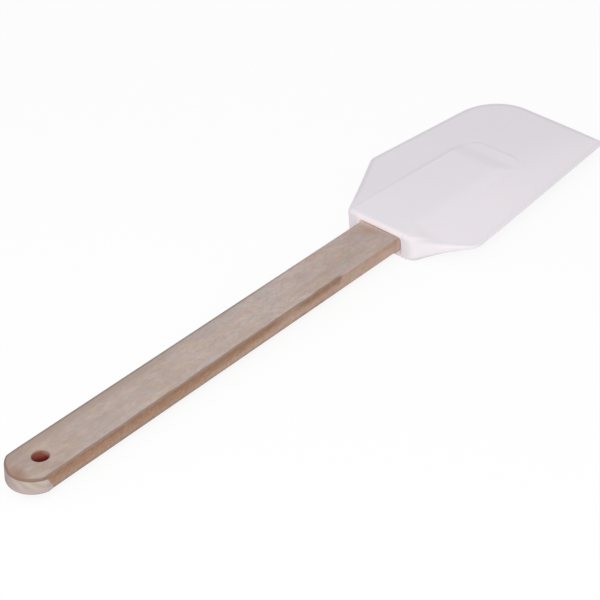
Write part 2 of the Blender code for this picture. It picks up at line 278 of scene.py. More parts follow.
# %% The rule
class BladeRule:
    """How thick the blade is at a point of its plan. Its sizes are numbers or wires."""

    def __init__(self, sizes):
        self.size = sizes

    def tip_x(self, y):
        return self.size.blade_length + self.size.tip_slope * y

    def rear_x(self, y):
        return self.size.collar_slope * (y - self.size.collar_far_reach)

    def is_far(self, y):
        """1 on the far side of the centre line, 0 on the near side."""
        if isinstance(y, Wire):
            return y.math("GREATER_THAN", y, 0.0)
        return 1.0 if y > 0 else 0.0

    def pad_foot(self, x, far):
        """How far from the centre line the foot of the pad's side lies."""
        size = self.size
        far_reach = between(size.pad_far_root_reach, size.pad_far_end_reach, clamp(x / size.pad_length))
        return between(size.pad_near_reach, far_reach, far)

    def inside_pad(self, x, y):
        """How far inside the pad's foot a point lies. The corners of its end are quarter ellipses."""
        size = self.size
        wide = self.pad_foot(x, self.is_far(y)) - size.pad_end_flat
        across = largest(abs(y) - size.pad_end_flat, 0.0) / wide
        corner_start = size.pad_length + size.tip_slope * y - size.pad_corner_length
        along = largest(x - corner_start, 0.0) / size.pad_corner_length
        out = (across**2 + along**2 + NOT_QUITE_ZERO) ** 0.5
        steepness = ((across / wide) ** 2 + (along / size.pad_corner_length) ** 2 + NOT_QUITE_ZERO) ** 0.5
        return (1 - out) * out / steepness

    def edge_reach(self, x, far):
        """The blade's straight side edge, carried on past the shoulder to the collar."""
        size = self.size
        at = between(size.near_shoulder_at, size.far_shoulder_at, far)
        reach = between(size.near_shoulder_reach, size.far_shoulder_reach, far)
        tip_reach = between(size.near_tip_reach, size.far_tip_reach, far)
        tip_at = self.tip_x((2 * far - 1) * tip_reach)
        return between(reach, tip_reach, (x - at) / (tip_at - at))

    def past_pad(self, x, y):
        """0 up to the foot of the pad's side, 1 at the blade's side edge."""
        far = self.is_far(y)
        foot = self.pad_foot(x, far)
        return clamp((abs(y) - foot) / (self.edge_reach(x, far) - foot))

    def web_heights(self, x, y):
        """Half the thickness of the web's middle, which thins to the tip, and of its sloping side."""
        size = self.size
        far = self.is_far(y)
        near_flat = between(size.web_near_root_flat, size.web_near_end_flat, clamp(x / size.pad_length))
        near_flat = between(size.web_near_collar_flat, near_flat, smooth(x / size.web_collar_length))
        flat = between(near_flat, self.pad_foot(x, far), far)
        edge = size.edge_thickness / 2
        along = clamp(1 - x / self.tip_x(y))
        middle = (size.web_root_thickness / 2 - edge) * along
        fall = (abs(y) - flat) / (self.edge_reach(x, far) - flat)
        side = middle * largest(1 - fall, 0.0) ** between(size.web_near_taper, 1.0, far)
        return edge + middle, edge + side, size.web_crest_blend * along

    def height(self, x, y):
        """Half the blade's thickness, before its edges are rounded."""
        size = self.size
        middle, side, blend = self.web_heights(x, y)
        ledge_from = size.pad_length + size.tip_slope * y - size.ledge_length - size.ledge_slope_width
        on_ledge = smooth((x - ledge_from) / size.ledge_slope_width)
        pad = between(size.collar_thickness, size.pad_end_thickness, clamp(x / size.pad_length)) / 2
        past_slope = clamp((x - ledge_from - size.ledge_slope_width) / size.ledge_length)
        pad = pad - size.ledge_drop * on_ledge + size.ledge_rise * past_slope
        # The pad's far side is a step, and its near side runs on into the slope of the web
        pad = between(smooth_min(pad, side, blend), pad, self.is_far(y))
        web = smooth_min(middle, side, blend)
        return between(web, largest(web, pad), smooth(self.inside_pad(x, y) / size.pad_slope_width))

    def rim_radius(self, y, height):
        """The round of the blade's edge: softer on the near wall, and less where it is thinner."""
        size = self.size
        near_wall = smooth((-y - size.near_rim_from) / size.near_rim_blend)
        radius = between(size.rim_radius, size.near_rim_radius, near_wall)
        return radius * height / (size.collar_thickness / 2)


rule = BladeRule(SimpleNamespace(**SIZES))
for x in (0.0, 0.04, 0.08, 0.12):
    print("thickness at", x, "m:", round(2000 * rule.height(x, 0.0), 2), "mm")

# %% [markdown]
# ## The blade's plan
#
# The plan is a flat mesh of rows and columns that follow the form: columns run along the sides of
# the pad and crowd where it slopes, rows bend round the pad's end, and a fan of rows turns into
# the line of the tip. That way no edge of the form cuts across a face, and it shades cleanly.

# %% Outline of the plan
QUARTER_TURN = math.pi / 2
ARC_STEP = math.radians(2.5)
RIM_STEPS = 7


def in_steps(steps):
    """Shares from 0 to 1 in equal steps, both included."""
    return [step / steps for step in range(steps + 1)]


def arc(centre, radius, start, end):
    """Points along an arc, both ends included."""
    for share in in_steps(max(2, math.ceil(abs(end - start) / ARC_STEP))):
        angle = between(start, end, share)
        yield Vector(centre) + Vector((math.cos(angle), math.sin(angle))) * radius


def rim_insets(radius):
    """How far in from the edge each step of its quarter round lies, the edge first."""
    return [radius * (1 - math.cos(QUARTER_TURN * share)) for share in in_steps(RIM_STEPS)]


def blade_outline(rule, radii):
    """The blade's plan from the middle of the collar round by the far side, tip and near side."""
    size = rule.size
    rear = Vector((rule.rear_x(0), 0))
    far_tip, near_tip = size.far_tip_reach, -size.near_tip_reach
    corners = [
        (rear, 0),
        (Vector((rule.rear_x(size.collar_far_reach), size.collar_far_reach)), radii.far_collar),
        (Vector((size.far_shoulder_at, size.far_shoulder_reach)), radii.far_shoulder),
        (Vector((rule.tip_x(far_tip), far_tip)), radii.rounded_tip),
        (Vector((rule.tip_x(near_tip), near_tip)), radii.sharp_tip),
        (Vector((size.near_shoulder_at, -size.near_shoulder_reach)), radii.near_shoulder),
        (Vector((rule.rear_x(-size.collar_near_reach), -size.collar_near_reach)), radii.near_collar_light),
        (rear, 0),
    ]
    outline = []
    for (before, _), (corner, radius), (after, _) in zip(corners, corners[1:], corners[2:]):
        back = (before - corner).normalized()
        on = (after - corner).normalized()
        half_angle = back.angle(on) / 2
        centre = corner + (back + on).normalized() * (radius / math.sin(half_angle))
        start = corner + back * (radius / math.tan(half_angle)) - centre
        end = corner + on * (radius / math.tan(half_angle)) - centre
        first = math.atan2(start.y, start.x)
        turn = -((first - math.atan2(end.y, end.x)) % (2 * math.pi))
        outline += arc(centre, radius, first, first + turn)
    return outline


# %% Rows and columns of the plan
PAD_COLUMNS = 14
SLOPE_COLUMNS = 8
WEB_COLUMNS = 20
ROW_SPACING = 0.0008
LEAST_ROW_SPACING = 0.00012
PAD_END_ROWS = 8
ROWS_STRAIGHT_FROM = 0.0400
ROWS_BENT_FROM = 0.0500
TIP_FAN_LENGTH = 0.0300
TIP_ROWS = 34
TURN_WEIGHT = 0.0120


def row_of(rule, point):
    """Which row a point lies on: the first rows lean like the collar's rear face."""
    if point.x > ROWS_STRAIGHT_FROM:
        return point.x
    rear = rule.rear_x(point.y)
    return ROWS_STRAIGHT_FROM * (point.x - rear) / (ROWS_STRAIGHT_FROM - rear)


def on_row(rule, row, y):
    """A point of a row, which leans near the collar and bends round the pad's end."""
    size = rule.size
    lean = rule.rear_x(y) * clamp(1 - row / ROWS_STRAIGHT_FROM)
    crest = size.pad_length - size.pad_slope_width
    fan_start = rule.tip_x(size.far_tip_reach) - TIP_FAN_LENGTH
    turned = clamp((abs(y) - size.pad_end_flat) / (rule.pad_foot(row, rule.is_far(y)) - size.pad_end_flat))
    bend = size.pad_corner_length * (1 - math.sqrt(1 - turned * turned)) - size.tip_slope * y
    bend *= clamp((row - ROWS_BENT_FROM) / (crest - ROWS_BENT_FROM))
    bend *= clamp((fan_start - row) / (fan_start - size.pad_length))
    return Vector((row + lean - bend * (1 - rule.past_pad(row, y)), y))


# %% Columns of one row
def reach_at(rule, path, row):
    """How far from the centre line a path from the collar first lies when it comes to a row."""
    for start, end in zip(path, path[1:]):
        first, last = row_of(rule, start), row_of(rule, end)
        if first < row <= last:
            return abs(between(start.y, end.y, (row - first) / (last - first)))
    return abs(path[0].y)


def side_columns(rule, row, reach, far):
    """Distances from the centre line of one side's columns, closer where the pad slopes."""
    slope = rule.size.pad_slope_width
    crest = rule.pad_foot(row, far) - slope
    fit = min(1.0, (reach - rule.size.near_rim_radius) / (crest + 2 * slope))
    columns = [fit * crest * share for share in in_steps(PAD_COLUMNS)[1:]]
    columns += [fit * (crest + slope * share) for share in in_steps(SLOPE_COLUMNS)[1:]]
    y = (2 * far - 1) * reach
    inner, rim = columns[-1], rule.rim_radius(y, rule.height(row, y))
    columns += [between(inner, reach - rim, share) for share in in_steps(WEB_COLUMNS)[1:-1]]
    return columns + [reach - inward for inward in rim_insets(rim)[::-1]]


# %% Where the rows lie
def row_stations(rule, path, fan_start):
    """Where the rows lie: on the collar's round, the plan's arcs, the pad's end and in between."""
    size = rule.size
    rows = rim_insets(size.rim_radius) + [fan_start]
    ledge_foot = size.pad_length - size.ledge_length
    slopes = [(size.pad_length, size.pad_slope_width), (ledge_foot, size.ledge_slope_width)]
    wanted = []
    for foot, width in slopes:
        wanted += [foot - width * share for share in in_steps(PAD_END_ROWS)]
    wanted += [row_of(rule, point) for point in path]
    wanted += [ROW_SPACING * step for step in range(math.ceil(fan_start / ROW_SPACING))]
    for row in wanted:
        if row < fan_start and min(abs(row - other) for other in rows) > LEAST_ROW_SPACING:
            rows.append(row)
    return sorted(rows)


# %% The fan of rows at the tip
def tip_fan(rule, path, row, fan_start):
    """The rows that turn from a straight row into the line of the tip and its corners.

    The last of them has a point at equal steps of length and turning along the outline."""
    inside = [point for point in path if point.x > fan_start]
    walked = [0.0]
    for index in range(1, len(inside)):
        run = inside[index] - inside[index - 1]
        step_on = inside[min(index + 1, len(inside) - 1)] - inside[index]
        turning = run.angle(step_on, 0.0)
        walked.append(walked[-1] + run.length + TURN_WEIGHT * turning)
    rows = [[] for step in range(TIP_ROWS + RIM_STEPS)]
    for index, start in enumerate(row):
        along = (1 - index / (len(row) - 1)) * walked[-1]
        piece = max(i for i, passed in enumerate(walked[:-1]) if passed <= along)
        share = (along - walked[piece]) / (walked[piece + 1] - walked[piece])
        end = inside[piece].lerp(inside[piece + 1], share)
        run = (end - start).length
        rim = rule.rim_radius(end.y, rule.height(end.x, end.y))
        shares = [(1 - rim / run) * share for share in in_steps(TIP_ROWS)[1:]]
        shares += [1 - inward / run for inward in rim_insets(rim)[-2::-1]]
        for points, share in zip(rows, shares):
            points.append(start.lerp(end, share))
    return rows


# %% The plan's mesh
def blade_plan(rule, radii):
    """A flat mesh of the blade's plan."""
    path = blade_outline(rule, radii)
    fan_start = rule.tip_x(rule.size.far_tip_reach) - TIP_FAN_LENGTH
    rows = []
    for row in row_stations(rule, path, fan_start):
        near = side_columns(rule, row, reach_at(rule, path[::-1], row), 0.0)
        far = side_columns(rule, row, reach_at(rule, path, row), 1.0)
        rows.append([on_row(rule, row, y) for y in [-y for y in near[::-1]] + [0.0] + far])
    rows += tip_fan(rule, path, rows[-1], fan_start)
    width = len(rows[0])
    faces = []
    for i in range(len(rows) - 1):
        for j in range(width - 1):
            at = i * width + j
            faces.append((at, at + width, at + width + 1, at + 1))
    plan = bpy.data.meshes.new("blade_plan")
    plan.from_pydata([(*point, 0.0) for row in rows for point in row], [], faces)
    return plan


plan = blade_plan(rule, CORNER_RADII)
print("plan:", len(plan.vertices), "points,", len(plan.polygons), "faces")

# %% [markdown]
# ## The handle's bar
#
# The handle is one flat bar: its butt is cut to an arc with two eased corners, its long edges are
# sanded round, and the tongue in the rubber thins to a wedge. A cube with a Bevel modifier would
# give the same round on every edge, so the bar is built from rings instead: each ring is its plan,
# drawn in by the round of the edge. The same bar, without any play, is what the blade's socket is
# cut with, because the photograph shows no gap between the wood and the rubber.

# %% Sizes of the handle
BUTT_WIDTH = 0.0241
NECK_WIDTH = 0.0224
BAR_THICKNESS = 0.0074
BAR_EDGE_RADIUS = 0.0010
BAR_EDGE_STEPS = 6
BAR_STATIONS = 60
BUTT_ARC_RADIUS = 0.0133
BUTT_CORNER_RADIUS = 0.0016
TONGUE_LENGTH = 0.0700
TONGUE_END_WIDTH = 0.0170
TONGUE_END_THICKNESS = 0.0030
TONGUE_CORNER_RADIUS = 0.0040
HOLE_DIAMETER = 0.0074
HOLE_FROM_BUTT = 0.0156
HOLE_RIM_RADIUS = 0.0005
HOLE_SIDES = 96
SOCKET_MOUTH_LENGTH = 0.0040


# %% Plans of the butt and the tongue
def bar_thickness(x):
    """The full bar up to the collar, then the tongue's wedge."""
    return between(BAR_THICKNESS, TONGUE_END_THICKNESS, max(0.0, x) / TONGUE_LENGTH)


def arc_with_directions(centre, radius, start, end):
    centre = Vector(centre)
    return [(point, (point - centre) / radius) for point in arc(centre, radius, start, end)]


def butt_side():
    """The far half of the butt's plan, as points and outward directions, from its middle."""
    arc_centre = BUTT_ARC_RADIUS - HANDLE_LENGTH
    run = BUTT_ARC_RADIUS - BUTT_CORNER_RADIUS
    rise = BUTT_WIDTH / 2 - BUTT_CORNER_RADIUS
    corner_centre = arc_centre - math.sqrt(run * run - rise * rise)
    meeting = math.atan2(rise, corner_centre - arc_centre)
    side = arc_with_directions((arc_centre, 0), BUTT_ARC_RADIUS, math.pi, meeting)
    side += arc_with_directions((corner_centre, rise), BUTT_CORNER_RADIUS, meeting, QUARTER_TURN)[1:]
    last = side[-1][0]
    root = Vector((0, NECK_WIDTH / 2))
    return side + [(last.lerp(root, share), Vector((0, 1))) for share in in_steps(BAR_STATIONS)[1:-1]]


def tongue_side(start_x):
    """The far half of the tongue's plan, from the collar's rear face to its square end."""
    half = TONGUE_END_WIDTH / 2
    centre = (TONGUE_LENGTH - TONGUE_CORNER_RADIUS, half - TONGUE_CORNER_RADIUS)
    side = [(Vector((start_x, NECK_WIDTH / 2)), Vector((0, 1)))]
    return side + arc_with_directions(centre, TONGUE_CORNER_RADIUS, QUARTER_TURN, 0)


# %% Rings into a closed mesh
EDGE_TURNS = [QUARTER_TURN * share for share in in_steps(BAR_EDGE_STEPS)]


def closed_mesh(name, rings, caps_of=lambda ring: [ring]):
    """A mesh from rings of points: faces between each ring and the next, and caps over both ends."""
    mesh = bmesh.new()
    rings = [[mesh.verts.new(point) for point in ring] for ring in rings]
    for upper, lower in zip(rings, rings[1:]):
        for i in range(len(upper)):
            j = (i + 1) % len(upper)
            mesh.faces.new((upper[i], upper[j], lower[j], lower[i]))
    for cap in caps_of(rings[0]) + caps_of(rings[-1]):
        mesh.faces.new(cap)
    bmesh.ops.recalc_face_normals(mesh, faces=mesh.faces)
    data = bpy.data.meshes.new(name)
    mesh.to_mesh(data)
    mesh.free()
    return data


# %% The bar
def bar_mesh(name, side):
    """A flat bar from the far half of its plan, which starts on the centre line."""
    near_side = [(Vector((p.x, -p.y)), Vector((n.x, -n.y))) for p, n in side[1:]]
    outline = side + near_side[::-1]
    upper = [(1, 1 - math.sin(turn), 1 - math.cos(turn)) for turn in EDGE_TURNS]
    levels = upper + [(-1, inward, down) for _, inward, down in upper[::-1]]
    rings = []
    for up, inward, down in levels:
        ring = []
        for point, outward in outline:
            half = bar_thickness(point.x) / 2
            radius = BAR_EDGE_RADIUS * half / (BAR_THICKNESS / 2)
            place = point - outward * (inward * radius)
            ring.append((*place, up * (half - down * radius)))
        rings.append(ring)

    def strips(ring):
        """The flat face, in strips across the bar. The first is a triangle."""
        across = [(ring[i], ring[i + 1], ring[-i - 1], ring[-i]) for i in range(len(side) - 1)]
        return [list(dict.fromkeys(strip)) for strip in across]

    return closed_mesh(name, rings, strips)


# %% The drill
def hole_mesh():
    """The drill through the butt, flared at both faces so that it rounds the rims."""
    radius, half = HOLE_DIAMETER / 2, BAR_THICKNESS / 2
    profile = [(2 * half, radius + HOLE_RIM_RADIUS)]
    for turn in EDGE_TURNS:
        down, out = HOLE_RIM_RADIUS * (1 - math.cos(turn)), HOLE_RIM_RADIUS * (1 - math.sin(turn))
        profile.append((half - down, radius + out))
    profile += [(-height, reach) for height, reach in profile[::-1]]
    centre_x = HOLE_FROM_BUTT - HANDLE_LENGTH
    turns = [4 * QUARTER_TURN * share for share in in_steps(HOLE_SIDES)[:-1]]
    return closed_mesh("hole", [
        [(centre_x + reach * math.cos(turn), reach * math.sin(turn), height) for turn in turns]
        for height, reach in profile
    ])


# %% [markdown]
# The rubber doesn't meet the wood in a sharp corner. The socket's mouth is dished: a shallow funnel
# leads down to the wood, wider on the near side, so that the eye follows the bar a little way in.
# A second cutter makes it. Its rings go round the bar and close in on it as they go deeper, which a
# Bevel on the socket's edge couldn't do by different amounts on each side.

# %% The dish in the socket's mouth
DISH_WIDTH = 0.0009
DISH_NEAR_WIDTH = 0.0018
DISH_END_AT = 0.0008
DISH_END_SLOPE = 0.03
DISH_ROUND = 1.3
DISH_STEPS = 8
DISH_STARTS_OUTSIDE = 2.0
DISH_LAST_SHARE = 1.15
DISH_LIFT = 0.03
CORNER_SIDES = ((1, 1), (-1, 1), (-1, -1), (1, -1))


def dish_mesh(rule):
    """Rings round the bar that close in on it. Each lies at a share of the dish's depth."""
    corner_y = NECK_WIDTH / 2 - BAR_EDGE_RADIUS
    corner_z = BAR_THICKNESS / 2 - BAR_EDGE_RADIUS
    levels = [(-DISH_STARTS_OUTSIDE, 1.0)]
    for share in in_steps(DISH_STEPS)[:-1] + [DISH_LAST_SHARE]:
        levels.append((share ** DISH_ROUND - DISH_LIFT, 1 - share))
    rings = []
    for deeper, wide in levels:
        ring = []
        for corner, (side_y, side_z) in enumerate(CORNER_SIDES):
            centre = [corner_y * side_y, corner_z * side_z]
            if side_y < 0:
                centre[0] -= DISH_NEAR_WIDTH * wide
            start = QUARTER_TURN * corner
            for point in arc(centre, BAR_EDGE_RADIUS + DISH_WIDTH * wide, start, start + QUARTER_TURN):
                x = between(rule.rear_x(point.x), DISH_END_AT - DISH_END_SLOPE * point.x, deeper)
                ring.append((x, point.x, point.y))
        rings.append(ring)
    return closed_mesh("dish", rings)


# %% [markdown]
# ## Lifting the plan with Geometry Nodes
#
# The tree takes the flat plan and the sizes as named inputs. It lifts each point by the rule,
# rounds the rim by each point's true distance from the outline, mirrors the face to the underside,
# joins the two by a wall, and cuts the socket and its dish. The same could be done point by point
# in Python, but as a tree the sizes stay open to change, and the distance comes from one Proximity
# node. That distance and the half thickness stay on the mesh as attributes, for the rubber's tones.

# %% The tree
WELD_DISTANCE = 1e-6
EDGE_DISTANCE = "from_edge"
HALF_THICKNESS = "half_thickness"
WHOLE_A, WHOLE_B = 2, 3  # the Compare node's inputs for whole numbers


def label_of(name):
    return name.replace("_", " ").capitalize()


def blade_tree(sizes, cutters, finish):
    """Builds the tree that turns the plan into the blade. Returns it and its inputs' names."""
    tree = bpy.data.node_groups.new("moulded_blade", "GeometryNodeTree")
    tree.interface.new_socket("Geometry", in_out="OUTPUT", socket_type="NodeSocketGeometry")
    tree.interface.new_socket("Plan", in_out="INPUT", socket_type="NodeSocketGeometry")
    for name in sizes:
        tree.interface.new_socket(label_of(name), in_out="INPUT", socket_type="NodeSocketFloat")
    start = tree.nodes.new("NodeGroupInput")
    plan = Wire(tree, start.outputs["Plan"])
    wires = {name: Wire(tree, start.outputs[label_of(name)]) for name in sizes}
    rule = BladeRule(SimpleNamespace(**wires))

    x, y, _ = axes_of(plan.node("GeometryNodeInputPosition"))
    height = rule.height(x, y)

    neighbours = plan.node("GeometryNodeInputMeshEdgeNeighbors")
    is_rim = plan.node("FunctionNodeCompare", {"data_type": "INT", "operation": "EQUAL"},
                       {WHOLE_A: neighbours, WHOLE_B: 1})
    outline = plan.node("GeometryNodeSeparateGeometry", {"domain": "EDGE"},
                        {"Geometry": plan, "Selection": is_rim})
    inset = plan.node("GeometryNodeProximity", {"target_element": "EDGES"},
                      {0: outline}, output="Distance")
    radius = rule.rim_radius(y, height)
    short = largest(radius - inset, 0.0)
    drop = radius - (radius * radius - short * short) ** 0.5

    noted = plan
    for name, value in ((EDGE_DISTANCE, inset), (HALF_THICKNESS, height - drop)):
        noted = plan.node("GeometryNodeStoreNamedAttribute", {"data_type": "FLOAT"},
                          {"Geometry": noted, "Name": name, "Value": value})
    half = plan.node("GeometryNodeInputNamedAttribute", {"data_type": "FLOAT"},
                     {"Name": HALF_THICKNESS}, output="Attribute")
    lift = plan.node("ShaderNodeCombineXYZ", inputs={"Z": half})
    top = plan.node("GeometryNodeSetPosition", inputs={"Geometry": noted, "Offset": lift})
    mirror = plan.node("GeometryNodeTransform", inputs={"Geometry": top, "Scale": (1, 1, -1)})
    underside = plan.node("GeometryNodeFlipFaces", inputs={"Mesh": mirror})

    doubled = plan.node("GeometryNodeExtrudeMesh", {"mode": "EDGES"},
                        {"Mesh": top, "Selection": is_rim, "Offset Scale": 0.0})
    foot = Wire(tree, doubled.socket.node.outputs["Top"])
    down = plan.node("ShaderNodeCombineXYZ", inputs={"Z": half * -2.0})
    walled = plan.node("GeometryNodeSetPosition",
                       inputs={"Geometry": doubled, "Selection": foot, "Offset": down})
    joined = tree.nodes.new("GeometryNodeJoinGeometry")
    tree.links.new(walled.socket, joined.inputs[0])
    tree.links.new(underside.socket, joined.inputs[0])
    welded = plan.node("GeometryNodeMergeByDistance",
                       inputs={"Geometry": Wire(tree, joined.outputs[0]), "Distance": WELD_DISTANCE})
    cut = welded
    for cutter in cutters:
        tool = plan.node("GeometryNodeObjectInfo", inputs={"Object": cutter}, output="Geometry")
        cut = plan.node("GeometryNodeMeshBoolean", {"operation": "DIFFERENCE", "solver": "EXACT"},
                        {"Mesh 1": cut, "Mesh 2": tool})
    real = plan.node("GeometryNodeRealizeInstances", inputs={0: cut})
    dressed = plan.node("GeometryNodeSetMaterial", inputs={"Geometry": real, "Material": finish})
    end = tree.nodes.new("NodeGroupOutput")
    tree.links.new(dressed.socket, end.inputs["Geometry"])
    return tree


# %% Turning a result into a plain piece
SHARPEST_SMOOTH_ANGLE = math.radians(38)


def add_object(name, mesh):
    made = bpy.data.objects.new(name, mesh)
    bpy.context.scene.collection.objects.link(made)
    return made


def as_piece(name, source, finish):
    """Evaluates an object, and leaves its result as a plain piece in the frame."""
    bpy.context.view_layer.update()
    evaluated = source.evaluated_get(bpy.context.evaluated_depsgraph_get())
    mesh = bpy.data.meshes.new_from_object(evaluated)
    bpy.data.objects.remove(source)
    mesh.name = name
    mesh.transform(Matrix.Translation(ORIGIN))
    mesh.shade_smooth()
    mesh.set_sharp_from_angle(angle=SHARPEST_SMOOTH_ANGLE)
    mesh.materials.clear()
    mesh.materials.append(finish)
    return add_object(name, mesh)


def open_edges(piece):
    mesh = bmesh.new()
    mesh.from_mesh(piece.data)
    found = sum(1 for edge in mesh.edges if not edge.is_manifold)
    mesh.free()
    return found


# %% [markdown]
# ## Materials as formulas
#
# Both finishes are painted by place: each tone is laid over the last where a formula says so. It
# could also be done with painted pictures, but a formula has no seams, stays sharp close up, and
# keeps its place on the piece, because it reads the Object coordinates of a piece that lies
# unturned in the frame.

# %% Laying tones over each other
def linear(colour):
    """A screen colour, each part 0 to 255, as the linear colour that a shader takes."""
    def one(part):
        part /= 255
        return part / 12.92 if part <= 0.04045 else ((part + 0.055) / 1.055) ** 2.4
    return [one(part) for part in colour] + [1.0]


MIX_SHARE, MIX_FIRST, MIX_SECOND, MIX_COLOUR = 0, 6, 7, 2  # the Mix node's sockets for colours


def mixed(share, first, second):
    """A colour between two, which are wires or screen colours."""
    first, second = [value if isinstance(value, Wire) else linear(value) for value in (first, second)]
    sockets = {MIX_SHARE: share, MIX_FIRST: first, MIX_SECOND: second}
    return share.node("ShaderNodeMix", {"data_type": "RGBA"}, sockets, output=MIX_COLOUR)


def layered(tone, *layers):
    """Lays colours over a tone one after another, each by its own share."""
    for share, colour in layers:
        tone = mixed(share, tone, colour)
    return tone


def ramp(share, stops):
    """A colour from a row of stops, each a share and a screen colour."""
    stops = [(place, linear(colour)) for place, colour in stops]
    return share.node("ShaderNodeValToRGB", {"stops": stops}, {"Fac": share})


# %% Places and patterns
def from_origin(place):
    """Coordinates that start where the pieces are drawn from."""
    return place.node("ShaderNodeVectorMath", {"operation": "SUBTRACT"}, {0: place, 1: ORIGIN})


def stretched(where, stretch):
    """Coordinates squeezed along each axis, which draws a pattern out along the least of them."""
    return where.node("ShaderNodeVectorMath", {"operation": "MULTIPLY"}, {0: where, 1: stretch})


def noise(where, scale, detail=2.0, roughness=0.5):
    return where.node("ShaderNodeTexNoise", None, {
        "Vector": where, "Scale": scale, "Detail": detail, "Roughness": roughness,
    })


def spot(x, y, centre, reach):
    """1 in the middle of a soft round spot, 0 outside it."""
    across, along = (x - centre[0]) / reach[0], (y - centre[1]) / reach[1]
    return smooth(1 - (across * across + along * along) ** 0.5)


# %% A new material
def new_material(name):
    """A material with a Principled shader. Returns it, its shader and its object coordinates."""
    made = bpy.data.materials.new(name)
    made.use_nodes = True
    shader = made.node_tree.nodes["Principled BSDF"]
    coordinates = made.node_tree.nodes.new("ShaderNodeTexCoord")
    return made, shader, Wire(made.node_tree, coordinates.outputs["Object"])


def feed(shader, name, wire):
    shader.id_data.links.new(wire.socket, shader.inputs[name])


def feed_bump(shader, height, strength, distance):
    """Roughens the skin very slightly. It makes no form: every form is in the mesh."""
    feed(shader, "Normal", height.node("ShaderNodeBump", None, {
        "Height": height, "Strength": strength, "Distance": distance,
    }))


# %% [markdown]
# ## White rubber
#
# The blade is off-white with the faintest pink in it, and a satin moulded skin. Light sinks in a
# little before it comes back, so some subsurface is set on the shader. Shade is painted into the
# tone: it is a little deeper towards the thin tip, in the crease beside the pad's far side and just
# inside the thin edges. Light is painted in too: the tone is paler on the near side, palest on the
# collar's near wall, and pink-white round the mouth, as painted light that the wood throws back. A
# soft mottle and a very fine bump keep the faces from looking like painted board.

# %% Tones of the rubber
RUBBER_COOL = (225, 220, 229)
RUBBER_WARM = (231, 225, 229)
# The next tones are painted shade and light: a deeper one for shade at the tip and in the crease, two
# paler ones for light on the near side, the collar and round the mouth, and a grey one for shade just
# inside the thin edges.
RUBBER_PAINTED_SHADE = (221, 215, 219)
RUBBER_PAINTED_LIGHT = (243, 238, 240)
RUBBER_WOOD_BOUNCE_LIGHT = (248, 236, 235)
RUBBER_EDGE_SHADE = (206, 201, 205)
EDGE_SHADE_AT = 0.0012
EDGE_SHADE_WIDTH = 0.0018
CREASE_SHADE_WIDTH = 0.004
NEAR_COLLAR_LIGHT_LENGTH = 0.018
WOOD_BOUNCE_LENGTH = 0.004
WOOD_BOUNCE_WIDTH = 0.0026


def rubber_tone(place, mottle):
    """Each layer is a share and a tone. Where a share fades, it says so in metres."""
    x, y, z = axes_of(from_origin(place))
    from_edge, half = [
        place.node("ShaderNodeAttribute", {"attribute_name": name}, output="Fac")
        for name in (EDGE_DISTANCE, HALF_THICKNESS)
    ]
    from_rear = x - rule.rear_x(y)
    from_bar = largest(abs(y) - NECK_WIDTH / 2, abs(z) - BAR_THICKNESS / 2)
    # Painted shade in the crease at the foot of the pad's far side.
    far_crease_shade = smooth(1 - abs(rule.inside_pad(x, y)) / CREASE_SHADE_WIDTH) * rule.is_far(y)
    far_crease_shade = far_crease_shade * step_up(x, 0.025, 0.065) * step_up(-x, -0.088, -0.074)
    # Painted light on the upper part of the collar's near wall.
    near_collar_light = smooth(1 - from_rear / NEAR_COLLAR_LIGHT_LENGTH) * step_up(-y, 0.010, 0.017)
    # Painted light round the mouth: the pinkish light that the wood throws onto the rubber, lifting the
    # shade of the dish.
    wood_bounce_light = smooth(1 - from_rear / WOOD_BOUNCE_LENGTH) * smooth(1.3 - from_bar / WOOD_BOUNCE_WIDTH)
    # Painted shade just inside the thin edges, weaker on the near side.
    thin_edge_shade = smooth(1 - abs(from_edge - EDGE_SHADE_AT) / EDGE_SHADE_WIDTH)
    thin_edge_shade = thin_edge_shade * step_up(-half, -0.006, -0.004)
    return layered(
        mixed(mottle, RUBBER_COOL, RUBBER_WARM),
        # Painted shade, deepening towards the tip where the light falls off.
        (0.20 * step_up(x, 0.050, 0.105), RUBBER_PAINTED_SHADE),
        (0.45 * far_crease_shade, RUBBER_PAINTED_SHADE),
        # Painted light: paler towards the near side, which faces the lamp, and palest on the collar's near
        # wall.
        (0.15 * step_up(-y, 0.0, 0.030), RUBBER_PAINTED_LIGHT),
        (0.50 * near_collar_light * step_up(-z, -0.005, 0.004), RUBBER_PAINTED_LIGHT),
        (0.90 * wood_bounce_light, RUBBER_WOOD_BOUNCE_LIGHT),
        (thin_edge_shade * (0.5 - 0.4 * step_up(-y, 0.024, 0.032)), RUBBER_EDGE_SHADE),
    )


# %% The rubber's material
MOTTLE_SCALE = 28.0
SKIN_GRAIN_SCALE = 2600.0


def white_rubber():
    made, shader, place = new_material("white_rubber")
    mottle = noise(place, MOTTLE_SCALE, 3.0)
    feed(shader, "Base Color", rubber_tone(place, mottle))
    feed(shader, "Roughness", 0.46 + 0.10 * mottle)
    feed_bump(shader, noise(place, SKIN_GRAIN_SCALE), strength=0.06, distance=0.0002)
    shader.inputs["Subsurface Weight"].default_value = 0.10
    shader.inputs["Subsurface Radius"].default_value = (1.0, 0.8, 0.7)
    shader.inputs["Subsurface Scale"].default_value = 0.002
    return made


rubber = white_rubber()
print("white rubber:", len(rubber.node_tree.nodes), "nodes")

